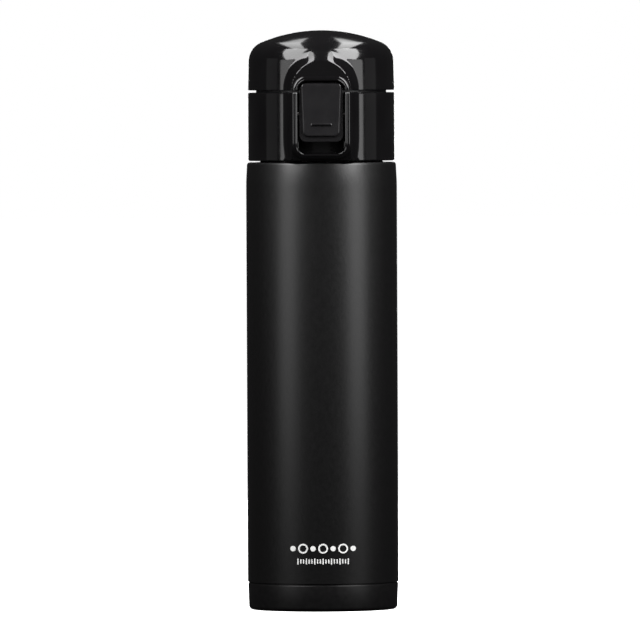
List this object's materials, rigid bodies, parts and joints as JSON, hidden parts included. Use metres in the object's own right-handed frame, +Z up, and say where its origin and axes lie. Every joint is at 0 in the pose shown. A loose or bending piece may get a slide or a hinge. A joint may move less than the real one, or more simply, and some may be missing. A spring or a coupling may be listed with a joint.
{
  "type": "vacuum flask",
  "caption": "Slim upright vacuum flask: matte black double-wall steel body, and a gloss black screw-on cap with a hinged domed lid and a rocking push button.",
  "frame": {"origin": "on the bottle's axis, in the plane that the foot ring stands on", "axes": "+Z up along the bottle's axis, -Y towards the push button, +Y towards the lid hinge"},
  "size_m": [0.065, 0.073, 0.2495],
  "materials": {
    "body_paint": "satin black powder coat",
    "base_plastic": "satin black",
    "steel": "brushed",
    "spring_steel": "drawn wire",
    "getter_alloy": "pressed powder",
    "copper_foil": "bright foil",
    "solder": "dull",
    "gloss_black": "high gloss",
    "core_plastic": "satin moulded",
    "print_ink": "screen print",
    "silicone": "translucent grey, matte"
  },
  "bodies": {
    "bottle": {"outer_shell": "body_paint", "inner_vessel": "steel", "foil_wrap": "copper_foil", "getter": "getter_alloy", "jacket_bottom": "steel", "vacuum_plug": "solder", "base_cup": "base_plastic"},
    "cap_lift": {"neck_gasket": "silicone"},
    "cap": {"collar_shell": "gloss_black", "threaded_core": "core_plastic", "mouthpiece": "core_plastic", "hinge_pin": "steel", "lid_spring": "spring_steel", "button_pin": "steel", "button_spring": "spring_steel"},
    "lid": {"lid_shell": "gloss_black", "lid_liner": "core_plastic", "stopper_core": "core_plastic", "stopper_seal": "silicone"},
    "button": {"push_button": "gloss_black"}
  },
  "joints": [
    {"name": "cap_rise", "type": "slide", "parent": "bottle", "child": "cap_lift", "axis": [0, 0, 1], "range_m": [0, 0.0086]},
    {"name": "cap_turn", "type": "hinge", "parent": "cap_lift", "child": "cap", "pos_m": [0, 0, 0.2], "axis": [0, 0, 1], "range_deg": [0, 684]},
    {"name": "lid_flip", "type": "hinge", "parent": "cap", "child": "lid", "pos_m": [0, 0.0336, 0.2212], "axis": [-1, 0, 0], "range_deg": [0, 160], "deforming": ["lid_spring"]},
    {"name": "button_press", "type": "hinge", "parent": "cap", "child": "button", "pos_m": [0, -0.0334, 0.2135], "axis": [1, 0, 0], "range_deg": [0, 7], "stiffness_Nm_per_rad": 0.05, "deforming": ["button_spring"]}
  ],
  "couplings": [
    {"joint": "cap_rise", "follows": "cap_turn", "m_per_rad": 0.0007162}
  ]
}
